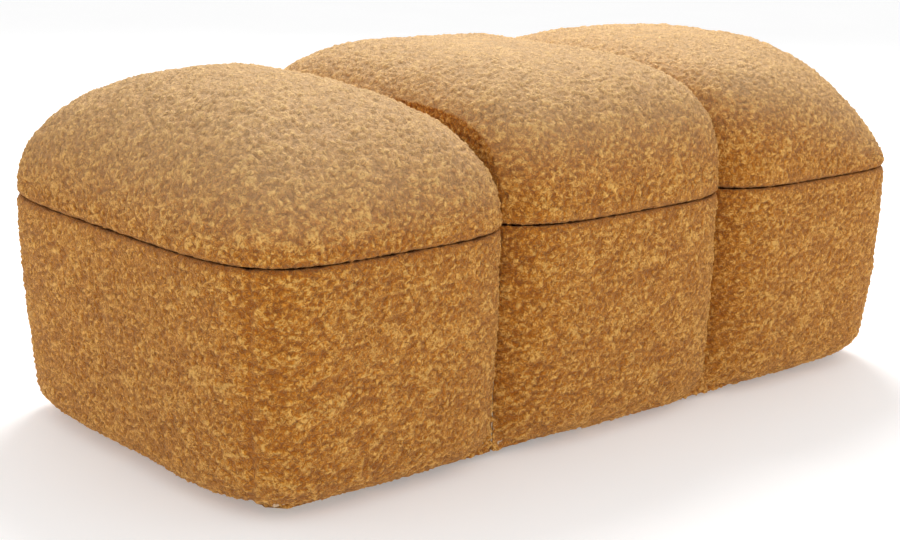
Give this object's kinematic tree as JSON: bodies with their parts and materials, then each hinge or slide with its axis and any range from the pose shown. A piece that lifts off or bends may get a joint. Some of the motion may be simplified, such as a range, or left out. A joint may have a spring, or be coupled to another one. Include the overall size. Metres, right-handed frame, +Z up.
{
  "type": "ottoman with storage",
  "caption": "Long upholstered ottoman bench in curled pile cloth with a channelled, domed lid that hinges at the back on gas struts over a lined storage well.",
  "frame": {"origin": "middle of the footprint on the floor", "axes": "X along the length, Y from the front to the hinged back, Z up"},
  "size_m": [1.13, 0.594, 0.458],
  "materials": {
    "boucle_cover": "mustard curled boucle with a wadding back",
    "seat_foam": "upholstery foam",
    "lining_cloth": "black non-woven lining",
    "dust_cloth": "black spun-bonded dust cover",
    "panel_board": "sheet board",
    "plywood": "plywood",
    "softwood": "planed softwood",
    "glide_plastic": "moulded black plastic",
    "buffer_felt": "soft stick-on bumper",
    "hinge_steel": "zinc-plated steel",
    "rod_chrome": "polished rod",
    "strut_black": "black painted tube",
    "socket_plastic": "glass-filled nylon",
    "bracket_steel": "black painted steel",
    "screw_steel": "zinc-plated"
  },
  "bodies": {
    "base": {"back_board": "plywood", "back_left_foot": "glide_plastic", "back_middle_foot": "glide_plastic", "back_right_foot": "glide_plastic", "base_cover_centre_back": "boucle_cover", "base_cover_centre_front": "boucle_cover", "base_cover_left": "boucle_cover", "base_cover_right": "boucle_cover", "base_foam_centre_back": "seat_foam", "base_foam_centre_front": "seat_foam", "base_foam_left": "seat_foam", "base_foam_right": "seat_foam", "base_screws": "screw_steel", "centre_hinge_base_leaf": "hinge_steel", "centre_hinge_pin": "hinge_steel", "corner_blocks": "softwood", "dust_cover": "dust_cloth", "floor_board": "panel_board", "foot_screws": "screw_steel", "front_board": "plywood", "front_left_foot": "glide_plastic", "front_middle_foot": "glide_plastic", "front_right_foot": "glide_plastic", "hinge_blocks": "softwood", "left_batten": "softwood", "left_end_board": "plywood", "left_hinge_base_leaf": "hinge_steel", "left_hinge_pin": "hinge_steel", "left_strut_base_bracket": "bracket_steel", "lid_buffers": "buffer_felt", "middle_batten": "softwood", "right_batten": "softwood", "right_end_board": "plywood", "right_hinge_base_leaf": "hinge_steel", "right_hinge_pin": "hinge_steel", "right_strut_base_bracket": "bracket_steel", "storage_lining": "lining_cloth"},
    "lid": {"centre_hinge_lid_leaf": "hinge_steel", "left_hinge_lid_leaf": "hinge_steel", "left_strut_lid_bracket": "bracket_steel", "lid_board": "panel_board", "lid_cover_centre": "boucle_cover", "lid_cover_left": "boucle_cover", "lid_cover_right": "boucle_cover", "lid_foam_centre": "seat_foam", "lid_foam_left": "seat_foam", "lid_foam_right": "seat_foam", "lid_lining": "lining_cloth", "lid_screws": "screw_steel", "right_hinge_lid_leaf": "hinge_steel", "right_strut_lid_bracket": "bracket_steel"},
    "left_strut_tube": {"left_strut_cylinder": "strut_black", "left_strut_lower_socket": "socket_plastic"},
    "left_strut_piston": {"left_strut_rod": "rod_chrome", "left_strut_upper_socket": "socket_plastic"},
    "right_strut_tube": {"right_strut_cylinder": "strut_black", "right_strut_lower_socket": "socket_plastic"},
    "right_strut_piston": {"right_strut_rod": "rod_chrome", "right_strut_upper_socket": "socket_plastic"}
  },
  "joints": [
    {"name": "lid_hinge", "type": "hinge", "parent": "base", "child": "lid", "pos_m": [0, 0.2925, 0.286], "axis": [-1, 0, 0], "range_deg": [0, 75]},
    {"name": "left_strut_swing", "type": "hinge", "parent": "base", "child": "left_strut_tube", "pos_m": [-0.4693, 0.1645, 0.096], "axis": [-1, 0, 0], "range_deg": [0, 2.68]},
    {"name": "left_strut_slide", "type": "slide", "parent": "left_strut_tube", "child": "left_strut_piston", "axis": [0, 0.2641, 0.9645], "range_m": [0, 0.10288]},
    {"name": "right_strut_swing", "type": "hinge", "parent": "base", "child": "right_strut_tube", "pos_m": [0.4693, 0.1645, 0.096], "axis": [-1, 0, 0], "range_deg": [0, 2.68]},
    {"name": "right_strut_slide", "type": "slide", "parent": "right_strut_tube", "child": "right_strut_piston", "axis": [0, 0.2641, 0.9645], "range_m": [0, 0.10288]}
  ],
  "couplings": [
    {"joint": "left_strut_swing", "follows": "lid_hinge", "ratio": 0.035583},
    {"joint": "left_strut_slide", "follows": "lid_hinge", "m_per_rad": 0.078579},
    {"joint": "right_strut_swing", "follows": "lid_hinge", "ratio": 0.035583},
    {"joint": "right_strut_slide", "follows": "lid_hinge", "m_per_rad": 0.078579}
  ]
}
